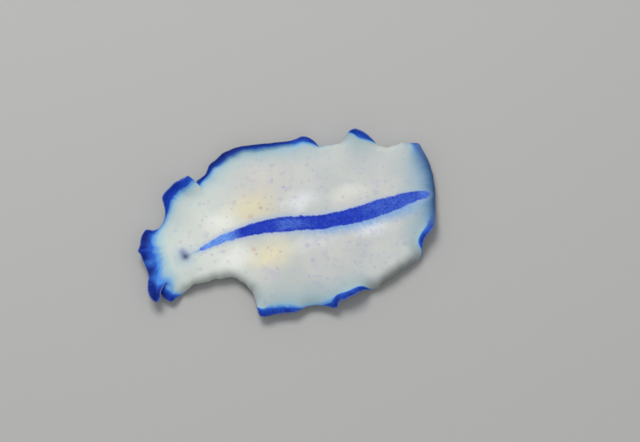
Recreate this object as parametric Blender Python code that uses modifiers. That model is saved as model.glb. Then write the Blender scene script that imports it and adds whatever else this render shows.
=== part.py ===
"""Pseudoceros concinnus, a polyclad flatworm, as a life-size model at rest.

The body is one soft sheet. Its place is given by two numbers: p runs from the head (-1)
to the tail (1) and q from the left margin (-1) over the midline (0) to the right (1).
Four rows of named stations draw its margins, a fifth draws the midline, and the outer
strip curls up or tucks under by the angle that each station gives. Each sub-part is a
piece of that sheet, thickened downwards, with a small gap to its neighbours.
Head at -X, tail at +X, left side at -Y, sole on z = 0.
"""
import math

import bpy
import numpy as np

MM = 0.001
GAP = 0.30              # mm between neighbouring pieces
FOLD_WIDTH = 1.25       # mm, strip of margin that curls
FOLD_MOST = 0.35        # largest share of the way to the midline that may curl
END_EASE = 0.25         # how much the stations crowd towards head and tail
END_REACH = 5.0         # power with which the two ends fade into the body
LIFT_FADE = 4.0         # power with which the margin's height fades towards the midline
DOME = 0.22             # share of the midline's height that the flank has lost
INNER = 0.62            # |q| where the flanks end and the frill starts
RIM = 0.88              # |q| where the frill ends and the blue rim starts
HEAD_END = -0.53        # p where the head meets the flanks
TAIL_START = 0.80       # p where the flanks meet the tail
CORNER_END = -0.78      # p where the pseudotentacles end
RIM_HEAD = -0.90        # p where the front rim starts
RIM_TAIL = 0.90         # p where the tail rim starts
WAIST = 0.12            # p where the front flanks meet the rear ones
FRILL_CUTS = (-0.40, 0.02, 0.42)    # p where one length of frill meets the next
# distance from the edge along the skin, thickness there (mm)
THICKNESS = ((0.0, 0.36), (1.2, 0.55), (3.0, 0.95), (6.0, 1.80), (9.0, 2.10))

# Each station: x, y, height (mm), curl in degrees, up positive and tucked under negative
RIGHT_MARGIN = (
    (-14.05, 3.15, 1.6, 25),      # right pseudotentacle
    (-13.20, 3.10, 1.3, -30),
    (-12.05, 3.75, 1.5, -55),     # narrow bay behind it
    (-11.50, 4.95, 1.8, -40),
    (-11.65, 5.85, 2.3, 0),       # shoulder flap
    (-10.20, 6.80, 2.6, 15),
    (-8.50, 7.25, 2.6, 10),
    (-8.00, 6.70, 1.5, -20),      # step down behind the flap
    (-6.90, 7.15, 1.1, 0),
    (-5.90, 8.10, 1.2, 5),
    (-3.90, 9.05, 1.5, 0),        # long right flank
    (-0.30, 9.00, 1.6, -30),
    (2.30, 8.65, 1.6, -30),
    (3.60, 8.50, 1.9, 10),
    (5.00, 7.60, 1.7, -90),       # tucked stretch
    (6.50, 7.25, 1.8, -115),
    (7.50, 7.45, 2.3, -90),
    (8.50, 7.80, 2.8, 0),         # rear flap
    (9.50, 7.25, 2.7, 10),
    (10.55, 6.40, 2.1, -80),
    (11.60, 5.50, 1.8, -115),     # tucked notch
    (13.15, 5.75, 2.1, -115),
    (14.90, 5.00, 1.9, -50),      # right tail corner
)
LEFT_MARGIN = (
    (-14.90, -4.20, 1.9, 15),     # left pseudotentacle, front lobe
    (-14.00, -3.60, 1.6, 0),      # notch between its lobes
    (-13.30, -4.35, 0.9, 0),      # its rear lobe, lying lower
    (-11.90, -3.85, 1.3, -70),
    (-10.30, -3.30, 1.8, -115),   # big bay, tucked under
    (-7.30, -3.30, 2.0, -120),
    (-5.75, -4.55, 2.0, -95),
    (-5.15, -6.15, 1.8, -50),
    (-5.35, -7.65, 1.5, -10),     # front corner of the left flank
    (-4.60, -8.25, 1.3, 0),
    (-2.30, -8.45, 1.2, 0),
    (-0.90, -8.40, 1.4, -40),
    (0.50, -8.25, 1.7, -110),     # short tucked stretch
    (1.70, -8.70, 1.3, -60),
    (2.55, -9.15, 0.9, 0),        # small fold lobe
    (2.90, -8.62, 1.5, 20),
    (4.40, -8.58, 1.8, 35),       # upturned lip
    (5.90, -8.25, 1.8, -40),
    (7.10, -7.90, 1.8, -100),
    (9.15, -7.10, 2.0, -120),     # rear left, tucked under
    (11.25, -6.35, 2.0, -95),
    (11.95, -6.00, 1.8, -25),     # left tail corner
)
FRONT_MARGIN = (
    (-14.90, -4.20, 1.9, 15),
    (-15.28, -3.05, 1.7, 10),
    (-14.85, -1.35, 1.1, 0),
    (-15.05, 0.15, 1.3, 5),
    (-15.30, 1.30, 1.7, 15),
    (-14.70, 2.45, 1.3, 5),
    (-14.05, 3.15, 1.6, 25),
)
TAIL_MARGIN = (
    (11.95, -6.00, 1.8, -25),
    (12.55, -5.00, 1.6, -5),
    (13.40, -4.05, 1.5, 10),      # upturned stretch
    (14.30, -2.85, 1.7, -40),
    (14.90, -0.75, 1.9, -75),
    (15.35, 1.75, 1.9, -80),
    (15.15, 3.75, 1.8, -70),
    (14.90, 5.00, 1.9, -50),
)
# Midline stations between the two ends: x, y, height of the back
MIDLINE = (
    (-11.06, -0.35, 1.60),
    (-9.20, -0.23, 1.85),
    (-6.10, 0.37, 2.15),
    (-3.00, 0.51, 2.20),
    (1.10, 0.07, 2.15),
    (7.10, -0.30, 2.10),
    (12.30, -0.25, 2.00),
)
# The median stripe: x, half-width
STRIPE = (
    (-9.20, 0.18), (-7.75, 0.40), (-6.00, 0.52), (-4.00, 0.61), (-1.60, 0.74),
    (0.40, 0.68), (5.00, 0.64), (10.40, 0.63), (12.60, 0.44), (13.90, 0.26),
)
# Where the margin turns sharply outwards the lines across the body bow towards the tail:
# side, station, half-length of the bow, its size in mm
BOWS = ((1, -0.72, 0.25, 5.0), (-1, -0.20, 0.30, 4.0))
EYESPOTS_AT = (-0.633, -0.012)       # p, q of the eyespot cluster
EYESPOTS = (0.42, 0.32, 0.26)     # mm, half sizes of its lens
EYESPOT_GAP = 0.15                # mm around the lens

# name: colour, roughness
FINISHES = {
    "skin_white": ((0.62, 0.64, 0.60), 0.60),
    "skin_pale_blue": ((0.36, 0.50, 0.66), 0.58),
    "rim_blue": ((0.012, 0.045, 0.36), 0.50),
    "stripe_blue": ((0.022, 0.055, 0.46), 0.55),
    "eyespot_dark": ((0.030, 0.035, 0.10), 0.40),
}


def smooth_through(at, values, x):
    """Curve through the stations, each slope taken from the neighbours on both sides."""
    at, values = np.asarray(at, float), np.asarray(values, float)
    step = np.diff(at)
    rise = np.diff(values) / step
    slope = np.r_[rise[0], (step[1:] * rise[:-1] + step[:-1] * rise[1:]) / (step[1:] + step[:-1]),
                  rise[-1]]
    return cubic(at, values, slope, x)


def steady_through(at, values, x):
    """Curve through the stations that never swings past them."""
    at, values = np.asarray(at, float), np.asarray(values, float)
    step = np.diff(at)
    rise = np.diff(values) / step
    slope = np.zeros_like(values)
    same = rise[:-1] * rise[1:] > 0
    w1, w2 = 2 * step[1:] + step[:-1], step[1:] + 2 * step[:-1]
    slope[1:-1][same] = ((w1 + w2)[same]
                         / (w1[same] / rise[:-1][same] + w2[same] / rise[1:][same]))
    slope[0], slope[-1] = rise[0], rise[-1]
    return cubic(at, values, slope, x)


def cubic(at, values, slope, x):
    x = np.asarray(x, float)
    i = np.clip(np.searchsorted(at, x) - 1, 0, len(at) - 2)
    h = at[i + 1] - at[i]
    t = (x - at[i]) / h
    return ((1 + 2 * t) * (1 - t) ** 2 * values[i] + t * (1 - t) ** 2 * h * slope[i]
            + t * t * (3 - 2 * t) * values[i + 1] + t * t * (t - 1) * h * slope[i + 1])


def margin(stations, axis):
    """Function from -1..1 to [x, y, height, curl] along one margin."""
    rows = np.array(stations, float)
    chord = np.r_[0, np.cumsum(np.hypot(*np.diff(rows[:, :2], axis=0).T))]
    along = np.maximum.accumulate(rows[:, axis] - rows[0, axis])
    at = chord / chord[-1] + along / along[-1] - 1
    return lambda t: [smooth_through(at, rows[:, 0], t), smooth_through(at, rows[:, 1], t),
                      steady_through(at, rows[:, 2], t), steady_through(at, rows[:, 3], t)]


right_margin, left_margin = margin(RIGHT_MARGIN, 0), margin(LEFT_MARGIN, 0)
front_margin, tail_margin = margin(FRONT_MARGIN, 1), margin(TAIL_MARGIN, 1)


def midline(t):
    rows = np.array([[float(v) for v in front_margin(0.0)[:3]], *MIDLINE,
                     [float(v) for v in tail_margin(0.0)[:3]]])
    at = 2 * (rows[:, 0] - rows[0, 0]) / (rows[-1, 0] - rows[0, 0]) - 1
    return [smooth_through(at, rows[:, k], t) for k in range(3)]


def crowd(p):
    """Stations crowd towards the ends, so that a step of p is about as long as one of q."""
    return (1 + END_EASE) * p - END_EASE * p ** 3


def flat_sheet(p, q):
    """The sheet before its margin curls, in mm."""
    t, reach = crowd(p), np.abs(q)
    mid, left, right = midline(t), left_margin(t), right_margin(t)
    ends = ((-1.0, front_margin(q), ((1 - t) / 2) ** END_REACH),
            (1.0, tail_margin(q), ((1 + t) / 2) ** END_REACH))
    place = []
    for k in range(3):
        def across(centre, side):
            if k < 2:
                return centre + reach * (side - centre)
            return (centre * (1 - DOME * q * q)
                    + reach ** LIFT_FADE * (side - centre * (1 - DOME)))

        value = across(mid[k], np.where(q >= 0, right[k], left[k]))
        if k == 0:
            for side, station, half, size in BOWS:
                bow = size * np.exp(-((t - station) / half) ** 2)
                value = value + np.where(q * side > 0, (reach - q * q) * bow, 0)
        for end, shape, weight in ends:
            corner = np.where(q >= 0, right_margin(end)[k], left_margin(end)[k])
            value = value + weight * (shape[k] - across(midline(end)[k], corner))
        place.append(value)
    return np.stack(place, -1)


def curl(length, angle, share):
    """Way out and way up along a strip bent to an arc whose outline stays at its length."""
    a = np.where(np.abs(angle) < 1e-3, 1e-3, angle)
    stretch = np.where(np.abs(a) < math.pi / 2, a / np.sin(a), np.abs(a))
    radius = length * stretch / a
    return radius * np.sin(a * share), radius * (1 - np.cos(a * share)), length * stretch


def sheet(p, q):
    """Upper surface in mm, and each point's distance from the edge along the skin."""
    place = flat_sheet(p, q)
    t = crowd(p)
    side = np.where(q >= 0, 1.0, -1.0)
    end = np.where(p < 0, -1.0, 1.0)
    side_curl = np.where(q >= 0, right_margin(t)[3], left_margin(t)[3])
    end_curl = np.where(p < 0, front_margin(q)[3], tail_margin(q)[3])
    moved = np.zeros_like(place)
    from_edge = []
    for at, turn, along, out in (
            (lambda s, p: flat_sheet(p, side * s), side_curl, p, np.abs(q)),
            (lambda s, q: flat_sheet(end * s, q), end_curl, q, np.abs(p))):
        edge = at(1.0, along)[..., :2]
        run = (at(1.0, np.minimum(along + 0.01, 1)) - at(1.0, np.maximum(along - 0.01, -1)))[..., :2]
        inwards = (edge - at(0.7, along)[..., :2]) / 0.3
        normal = np.stack((run[..., 1], -run[..., 0]), -1)
        normal *= np.sign(np.sum(normal * inwards, -1, keepdims=True))
        normal /= np.linalg.norm(normal, axis=-1, keepdims=True)
        reach = np.sum(normal * inwards, -1)
        fold = 1 - np.minimum(FOLD_WIDTH / reach, FOLD_MOST)
        length = np.sum(normal * (edge - at(fold, along)[..., :2]), -1)
        share = np.clip((out - fold) / (1 - fold), 0, 1)
        away, up, arc = curl(length, np.radians(turn), share)
        moved[..., :2] += normal * (away - share * length)[..., None]
        moved[..., 2] += up
        from_edge.append((1 - share) * arc + np.maximum(fold - out, 0) * reach)
    return place + moved, np.minimum(*from_edge)


def thickness(p, q, place, from_edge):
    """Thin towards the edge; in the middle the body comes down to its sole."""
    at, value = zip(*THICKNESS)
    thin = np.interp(from_edge, at, value)
    middle = np.clip((0.62 - np.hypot(0.62 * p, q)) / 0.3, 0, 1)
    middle = middle * middle * (3 - 2 * middle)
    return thin + middle * np.maximum(place[..., 2] + 0.25 - thin, 0)


def inward(p, q):
    """Unit vector from the upper surface into the body, smoothed over the sharpest creases."""
    def across(dp, dq):
        high = sheet(np.clip(p + dp, -1, 1), np.clip(q + dq, -1, 1))[0]
        return high - sheet(np.clip(p - dp, -1, 1), np.clip(q - dq, -1, 1))[0]

    up = np.cross(across(0.02, 0), across(0, 0.03))
    return -up / np.linalg.norm(up, axis=-1, keepdims=True)


def unit_step(p, q, dp, dq):
    """Millimetres of skin for one unit of p or q."""
    h = 0.004
    ahead, behind = sheet(p + h * dp, q + h * dq)[0], sheet(p - h * dp, q - h * dq)[0]
    return np.linalg.norm(ahead - behind, axis=-1) / (2 * h)


def stripe_side(p, side):
    """The q of the stripe's edge on one side."""
    t = crowd(p)
    mid = midline(t)
    edge = (right_margin if side > 0 else left_margin)(t)
    reach = np.hypot(edge[0] - mid[0], edge[1] - mid[1])
    at, half = zip(*STRIPE)
    width = steady_through(at, half, np.clip(mid[0], at[0], at[-1]))
    return side * (width + GAP / 2) / reach


def piece(name, finish, p_range, q_range, cells):
    """A patch of the sheet, pulled back by half a gap from each neighbour."""
    bpy.ops.mesh.primitive_grid_add(x_subdivisions=cells[0], y_subdivisions=cells[1], size=2)
    body = bpy.context.object
    body.name = body.data.name = name
    mesh = body.data
    co = np.empty(len(mesh.vertices) * 3)
    mesh.vertices.foreach_get("co", co)
    a, b = (co.reshape(-1, 3)[:, :2].T + 1) / 2
    p = p_range[0] + a * (p_range[1] - p_range[0])
    q_low, q_high = (bound(p) if callable(bound) else np.full_like(p, bound) for bound in q_range)
    q = q_low + b * (q_high - q_low)
    # half a gap on every side that isn't the body's own edge
    for low, high, here, along in ((p_range[0], p_range[1], a, (1, 0)), (q_low, q_high, b, (0, 1))):
        for bound, share in ((low, 1 - here), (high, here)):
            inside = np.abs(bound) < 0.999
            at_p = np.full_like(p, bound) if along == (1, 0) else p
            at_q = bound if along == (0, 1) else q
            back = inside * GAP / 2 / unit_step(np.clip(at_p, -0.99, 0.99),
                                                np.clip(at_q, -0.99, 0.99), *along)
            shift = back * share * (1 if share is not here else -1)
            if along == (1, 0):
                p = p + shift
            else:
                q = q + shift
    place, from_edge = sheet(p, q)
    under = place + inward(p, q) * thickness(p, q, place, from_edge)[:, None]
    under[:, 2] = np.maximum(under[:, 2], 0.0)      # the sole is flat on the floor
    mesh.vertices.foreach_set("co", (place * MM).ravel())
    solid = body.modifiers.new("Thickness", "SOLIDIFY")
    solid.thickness = 0.2 * MM
    solid.offset = -1.0
    bpy.ops.object.modifier_apply(modifier=solid.name)
    # the shell's second half is its underside: give it the body's real thickness
    mesh.vertices.foreach_set("co", (np.concatenate((place, under)) * MM).ravel())
    mesh.update()
    mesh.shade_smooth()
    mesh.set_sharp_from_angle(angle=math.radians(50))
    mesh.materials.append(finishes[finish])
    for other in list(body.users_collection):
        other.objects.unlink(body)
    worm.objects.link(body)
    return body


def lens(name, grow):
    """The eyespot cluster's lens, or its recess when grown."""
    place = sheet(np.array([EYESPOTS_AT[0]]), np.array([EYESPOTS_AT[1]]))[0][0]
    bpy.ops.mesh.primitive_uv_sphere_add(segments=14, ring_count=7, radius=1,
                                         location=[v * MM for v in place])
    ball = bpy.context.object
    ball.name = ball.data.name = name
    ball.scale = [(r + grow) * MM for r in EYESPOTS]
    bpy.ops.object.transform_apply(location=False, rotation=False, scale=True)
    return ball


for old in list(bpy.data.objects):
    bpy.data.objects.remove(old, do_unlink=True)
worm = bpy.data.collections.new("pseudoceros_concinnus")
cutters = bpy.data.collections.new("cutters")
for made in (worm, cutters):
    bpy.context.scene.collection.children.link(made)
finishes = {}
for label, (colour, rough) in FINISHES.items():
    material = bpy.data.materials.new(label)
    material.use_nodes = True
    shader = material.node_tree.nodes["Principled BSDF"]
    shader.inputs["Base Color"].default_value = (*colour, 1)
    shader.inputs["Roughness"].default_value = rough
    shader.inputs["Metallic"].default_value = 0.0
    finishes[label] = material

head = piece("head", "skin_white", (RIM_HEAD, HEAD_END), (-INNER, INNER), (10, 9))
piece("rim_head", "rim_blue", (-1, RIM_HEAD), (-INNER, INNER), (3, 11))
piece("median_stripe", "stripe_blue", (-0.50, RIM_TAIL),
      (lambda p: stripe_side(p, -1), lambda p: stripe_side(p, 1)), (32, 2))
for word, side in (("left", -1), ("right", 1)):
    def both(inner, outer):
        return (inner, outer) if side > 0 else (outer, inner)

    def by_stripe(p, side=side):
        return np.where(p > -0.50, stripe_side(p, side), side * 0.03)

    inner, rim = side * INNER, side * RIM
    piece(f"flank_{word}_front", "skin_white", (HEAD_END, WAIST), both(by_stripe, inner), (13, 6))
    piece(f"flank_{word}_rear", "skin_white", (WAIST, TAIL_START), both(by_stripe, inner), (14, 6))
    piece(f"tail_{word}", "skin_pale_blue", (TAIL_START, RIM_TAIL), both(by_stripe, inner), (3, 7))
    piece(f"pseudotentacle_{word}", "rim_blue", (-1, CORNER_END), both(inner, side), (8, 6))
    piece(f"bay_{word}", "skin_pale_blue", (CORNER_END, FRILL_CUTS[0]), both(inner, side), (14, 6))
    piece(f"tail_corner_{word}", "skin_pale_blue", (TAIL_START, 1), both(inner, side), (6, 8))
    cuts = (*FRILL_CUTS, TAIL_START)
    for length, start, stop in zip(("front", "middle", "rear"), cuts, cuts[1:]):
        piece(f"frill_{word}_{length}", "skin_pale_blue", (start, stop), both(inner, rim), (13, 4))
        piece(f"rim_{word}_{length}", "rim_blue", (start, stop), both(rim, side), (13, 4))
piece("rim_tail", "skin_pale_blue", (RIM_TAIL, 1), (-INNER, INNER), (3, 12))

cutter = lens("eyespot_recess", EYESPOT_GAP)
cutter.display_type, cutter.hide_render = "WIRE", True
for other in list(cutter.users_collection):
    other.objects.unlink(cutter)
cutters.objects.link(cutter)
recess = head.modifiers.new("Recess", "BOOLEAN")
recess.operation, recess.object = "DIFFERENCE", cutter
eyespots = lens("eyespot_cluster", 0.0)
eyespots.data.shade_smooth()
eyespots.data.materials.append(finishes["eyespot_dark"])
for other in list(eyespots.users_collection):
    other.objects.unlink(eyespots)
worm.objects.link(eyespots)
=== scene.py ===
# %% [markdown]
# A polyclad flatworm, Pseudoceros concinnus, at life size
#
# The animal is a leaf of soft tissue about 31 mm long: white on the back, with a deep blue
# margin and a blue stripe along the middle. Its margin is thrown into folds that lift off
# the ground or tuck under the body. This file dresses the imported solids: one continuous
# skin stands for all the pieces of flesh, and the eyespots sit on it as their own piece.

# %% Load the frame and measure it
import math

import bpy
import numpy as np
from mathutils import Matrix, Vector


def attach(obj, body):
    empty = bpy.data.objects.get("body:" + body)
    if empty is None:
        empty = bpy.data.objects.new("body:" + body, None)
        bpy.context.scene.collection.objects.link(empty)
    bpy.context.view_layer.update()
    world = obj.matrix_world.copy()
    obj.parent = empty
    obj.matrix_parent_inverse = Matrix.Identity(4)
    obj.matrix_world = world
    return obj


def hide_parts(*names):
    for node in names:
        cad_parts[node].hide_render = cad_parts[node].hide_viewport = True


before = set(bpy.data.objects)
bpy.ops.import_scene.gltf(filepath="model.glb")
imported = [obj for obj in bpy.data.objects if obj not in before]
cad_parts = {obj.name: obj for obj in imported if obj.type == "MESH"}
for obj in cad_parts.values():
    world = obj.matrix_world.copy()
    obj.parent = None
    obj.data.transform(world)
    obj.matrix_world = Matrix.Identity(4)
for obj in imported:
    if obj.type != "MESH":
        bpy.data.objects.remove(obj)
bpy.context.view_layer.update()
MM = 0.001
print("pieces of the frame:", len(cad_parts))

# %% [markdown]
# The camera
#
# The photograph looks down on the back from 15 degrees off the vertical, and the animal
# lies at a slant across it. A long lens keeps the flat body free of perspective. The
# camera is aimed a little behind the middle, because the animal sits left of centre.

# %% Camera
VIEW_TURN, VIEW_HEIGHT = -14.58, 75.0       # degrees round and above
VIEW_DISTANCE = 0.1793
AIM = np.array((3.12, 0.12, 0.0)) * MM

turn, height = math.radians(VIEW_TURN), math.radians(VIEW_HEIGHT)
back = np.array((math.sin(turn) * math.cos(height), -math.cos(turn) * math.cos(height),
                 math.sin(height)))
lens = bpy.data.cameras.new("camera")
lens.lens, lens.sensor_width = 100, 36
lens.clip_start, lens.clip_end = 0.01, 10
camera = bpy.data.objects.new("camera", lens)
camera.location = AIM + back * VIEW_DISTANCE
camera.rotation_euler = (math.pi / 2 - height, 0, turn)
bpy.context.scene.collection.objects.link(camera)
bpy.context.scene.camera = camera
print("camera at", [round(v, 4) for v in camera.location])

# %% [markdown]
# The margin
#
# A flatworm's shape is in its margin, so the form starts there. The margin is a closed row
# of stations, one for each lobe, bay or lip. A station says where the
# margin is seen from above, how high the body rides there, and how far its edge curls: up
# is positive, and beyond -90 degrees it is tucked under. It also says how wide the blue band
# is, how quickly it fades into the white, and how grey the blue is. A width below zero keeps
# the blue off that stretch altogether.

# %% Stations: x, y, height in mm, curl in degrees, blue band and its fade in mm, grey of painted shade
FRONT_MARGIN = (                               # from the animal's left to its right
    (-14.70, -4.30, 1.7, 0, 1.45, 0.6, 0),     # tip of the left pseudotentacle
    (-15.13, -3.78, 1.8, 10, 1.65, 0.6, 0),
    (-15.25, -3.05, 1.7, 10, 1.65, 0.9, 0),
    (-15.12, -2.15, 1.45, 5, 1.20, 1.6, 0),
    (-14.90, -1.45, 1.2, 0, 0.95, 1.5, 0),
    (-14.95, -0.55, 1.1, 0, 1.15, 1.0, 0),
    (-15.08, 0.35, 1.3, 5, 0.95, 1.0, 0),
    (-15.15, 0.90, 1.5, 10, 1.20, 1.1, 0),
    (-15.30, 1.22, 1.6, 10, 1.45, 0.9, 0),     # a small point
    (-15.02, 1.72, 1.5, 10, 1.20, 0.9, 0),
    (-14.82, 2.30, 1.4, 5, 1.15, 0.9, 0),
    (-14.45, 2.92, 1.4, 5, 1.05, 0.9, 0),
    (-14.05, 3.20, 1.5, 10, 0.90, 0.8, 0),
)
RIGHT_MARGIN = (                               # from the head to the tail
    (-14.05, 3.20, 1.5, 10, 0.90, 0.8, 0),
    (-13.30, 3.15, 1.3, -35, 0.45, 0.7, 0),
    (-12.65, 3.37, 1.4, -60, 0.0, 0.6, 0),    # narrow bay
    (-12.15, 3.80, 1.6, -60, 0.0, 0.6, 0),
    (-11.80, 4.37, 1.9, -45, 0.25, 0.5, 0),
    (-11.72, 4.85, 2.1, -20, 0.46, 0.4, 0),
    (-11.70, 5.40, 2.3, 5, 0.70, 0.45, 0),     # shoulder flap
    (-11.66, 5.80, 2.4, 10, 0.82, 0.45, 0),
    (-11.42, 6.12, 2.35, 15, 0.88, 0.5, 0),
    (-10.82, 6.52, 2.33, 15, 0.80, 0.5, 0),
    (-9.62, 6.95, 2.32, 15, 0.70, 0.5, 0),
    (-9.17, 6.84, 2.32, 13, 0.50, 0.4, 0),
    (-8.98, 6.90, 2.32, 12, 0.42, 0.4, 0),
    (-8.50, 6.92, 2.1, 5, 0.45, 0.3, 0),
    (-7.85, 7.12, 1.5, -10, 0.48, 0.3, 0),
    (-7.40, 7.36, 1.2, -15, 0.38, 0.4, 0),
    (-6.94, 7.54, 1.1, -15, 0.34, 0.4, 0),
    (-6.62, 7.90, 1.1, -5, 0.40, 0.4, 0),
    (-6.33, 8.29, 1.1, 5, 0.55, 0.35, 0),      # long right flank
    (-6.00, 8.50, 1.1, 5, 0.62, 0.35, 0),
    (-5.62, 8.62, 1.15, 5, 0.62, 0.35, 0),
    (-5.13, 8.92, 1.2, 5, 0.72, 0.40, 0),
    (-4.66, 9.13, 1.3, 5, 0.68, 0.42, 0),
    (-4.10, 9.24, 1.3, 5, 0.64, 0.45, 0),
    (-3.30, 9.36, 1.4, 0, 0.54, 0.50, 0),
    (-2.15, 9.27, 1.5, -10, 0.48, 0.50, 0),
    (-0.75, 9.10, 1.6, -20, 0.44, 0.55, 0),
    (0.70, 8.90, 1.6, -30, 0.40, 0.55, 0),
    (2.05, 8.72, 1.6, -25, 0.40, 0.50, 0),
    (2.95, 8.62, 1.7, 0, 0.44, 0.35, 0),
    (3.35, 8.67, 1.8, 8, 0.50, 0.30, 0),
    (3.72, 8.59, 1.8, 10, 0.50, 0.30, 0),
    (4.15, 8.38, 1.7, 0, 0.46, 0.3, 0),
    (4.60, 8.00, 1.65, -30, 0.38, 0.3, 0),
    (4.95, 7.62, 1.6, -75, 0.30, 0.3, 0),
    (5.25, 7.42, 1.6, -110, 0.30, 0.5, 0),     # tucked stretch
    (6.30, 7.27, 1.8, -130, 0.30, 0.5, 0),
    (7.15, 7.27, 2.2, -100, -0.10, 0.3, 0),
    (7.72, 7.46, 2.5, -30, -0.25, 0.2, 0),     # rear flap
    (8.22, 7.78, 2.6, 10, 0.20, 0.2, 0),
    (8.74, 7.84, 2.6, 15, 0.58, 0.25, 0),
    (9.30, 7.48, 2.6, 15, 0.62, 0.25, 0),
    (9.80, 7.08, 2.4, 10, 0.48, 0.2, 0),
    (10.25, 6.60, 2.2, -30, 0.25, 0.2, 0),
    (10.95, 6.02, 2.0, -110, 0.0, 0.3, 0),
    (11.60, 5.50, 1.8, -130, -0.10, 0.4, 0),    # tucked notch
    (12.45, 5.62, 1.9, -130, -0.10, 0.4, 0),
    (13.20, 5.67, 2.0, -120, 0.0, 0.5, 0.1),
    (14.15, 5.46, 2.0, -80, 0.32, 0.6, 0.15),
    (14.75, 5.05, 1.8, -30, 0.62, 0.7, 0.2),   # right corner of the tail
)
TAIL_MARGIN = (                                # from the animal's left to its right
    (11.95, -6.04, 1.8, -80, 0.0, 0.25, 0),
    (12.15, -5.65, 1.7, -45, 0.0, 0.2, 0),
    (12.31, -5.28, 1.5, 10, 0.38, 0.18, 0),     # upturned lip
    (12.59, -4.77, 1.4, 40, 0.62, 0.20, 0),
    (13.12, -4.32, 1.4, 40, 0.64, 0.16, 0),
    (13.64, -3.93, 1.5, 35, 0.60, 0.18, 0),
    (14.18, -3.22, 1.7, -15, 0.62, 0.40, 0.15),
    (14.44, -2.40, 1.9, -55, 0.45, 0.5, 0.75),
    (14.82, -1.00, 1.9, -70, 0.35, 0.5, 1),
    (15.21, 0.75, 1.9, -75, 0.35, 0.5, 1),
    (15.32, 2.03, 1.9, -70, 0.35, 0.5, 1),
    (15.20, 3.40, 1.8, -50, 0.40, 0.5, 0.9),
    (14.95, 4.42, 1.8, -30, 0.48, 0.7, 0.5),
    (14.75, 5.05, 1.8, -30, 0.62, 0.7, 0.2),
)
LEFT_MARGIN = (                                # from the head to the tail
    (-14.70, -4.30, 1.7, 0, 1.45, 0.6, 0),
    (-14.27, -4.02, 1.7, 0, 1.00, 0.5, 0),     # end of its front lobe
    (-14.07, -3.42, 1.6, 0, 0.85, 0.5, 0),
    (-13.81, -3.00, 1.5, 0, 0.60, 0.5, 0),
    (-13.55, -2.74, 1.4, 0, 0.30, 0.8, 0),
    (-13.30, -2.50, 1.35, 0, -0.10, 0.9, 0),   # slit
    (-13.19, -2.54, 1.35, 0, -0.10, 0.8, 0),
    (-13.24, -2.70, 1.35, 0, 0.08, 0.7, 0),
    (-13.60, -3.08, 1.2, 0, 0.60, 0.5, 0),
    (-13.85, -3.45, 1.0, 0, 0.75, 0.45, 0),    # its rear lobe, lying lower
    (-13.97, -3.75, 0.95, 0, 0.95, 0.5, 0),
    (-13.73, -4.11, 0.9, 0, 0.98, 0.5, 0),
    (-13.30, -4.43, 0.9, 0, 0.92, 0.55, 0),
    (-12.78, -4.24, 1.0, -10, 0.55, 0.6, 0),
    (-12.30, -3.97, 1.2, -50, 0.05, 0.4, 0),
    (-11.72, -3.73, 1.5, -95, -0.20, 0.3, 0),
    (-11.00, -3.42, 1.7, -120, -0.20, 0.15, 0),
    (-9.20, -3.35, 1.9, -125, -0.20, 0.15, 0),   # big bay, tucked under
    (-7.85, -3.38, 2.0, -125, -0.20, 0.15, 0),
    (-6.90, -3.55, 2.0, -125, -0.20, 0.15, 0),
    (-6.20, -4.05, 2.0, -125, -0.20, 0.15, 0),
    (-5.80, -4.60, 2.0, -130, -0.20, 0.15, 0),
    (-5.33, -5.35, 1.9, -85, -0.30, 0.15, 0),
    (-5.24, -6.15, 1.7, -75, -0.35, 0.12, 0),
    (-5.22, -7.02, 1.5, -40, -0.15, 0.15, 0),
    (-5.24, -7.64, 1.4, 0, 0.50, 0.25, 0),      # front corner of the left flank
    (-5.14, -8.13, 1.3, 0, 0.78, 0.30, 0),
    (-4.60, -8.33, 1.3, 0, 0.80, 0.42, 0),
    (-3.80, -8.33, 1.2, 0, 0.62, 0.42, 0),
    (-2.70, -8.44, 1.2, 0, 0.55, 0.42, 0),
    (-1.75, -8.62, 1.3, 0, 0.45, 0.42, 0),
    (-1.10, -8.50, 1.4, -25, 0.15, 0.3, 0),
    (-0.60, -8.35, 1.4, -30, -0.10, 0.35, 0),
    (0.02, -8.33, 1.4, -35, -0.20, 0.4, 0),     # short stretch that bends down
    (0.75, -8.48, 1.4, -32, -0.10, 0.4, 0),
    (1.30, -8.72, 1.4, -25, 0.15, 0.5, 0),
    (1.77, -8.98, 1.35, -15, 0.45, 0.5, 0),
    (2.19, -9.20, 1.3, 0, 0.80, 0.4, 0),       # small lobe
    (2.44, -9.22, 1.3, 10, 0.85, 0.4, 0),
    (2.66, -8.96, 1.3, 15, 0.70, 0.25, 0),
    (2.83, -8.70, 1.4, 20, 0.74, 0.14, 0),
    (3.30, -8.72, 1.5, 25, 0.72, 0.12, 0),     # upturned lip
    (3.74, -8.65, 1.6, 30, 0.66, 0.12, 0),
    (4.28, -8.56, 1.65, 30, 0.66, 0.12, 0),
    (4.84, -8.41, 1.7, 25, 0.62, 0.12, 0),
    (5.38, -8.28, 1.75, 0, 0.48, 0.12, 0),
    (5.85, -8.20, 1.8, -60, 0.25, 0.12, 0),
    (6.87, -8.05, 1.85, -105, -0.15, 0.1, 0),
    (7.80, -7.75, 1.95, -112, -0.15, 0.1, 0),    # rear left, tucked under
    (8.85, -7.33, 2.0, -112, -0.15, 0.1, 0),
    (9.90, -6.98, 2.0, -112, -0.15, 0.1, 0),
    (11.02, -6.55, 2.0, -110, -0.15, 0.12, 0),
    (11.95, -6.04, 1.8, -80, 0.0, 0.25, 0),
)

# %% [markdown]
# Curves through the stations
#
# Places run through the stations on a curve that takes each slope from its neighbours.
# Heights, curls and colours must never swing past what a station says, so they use a
# steadier curve. Both curves close on themselves, and are then measured by length.

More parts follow.
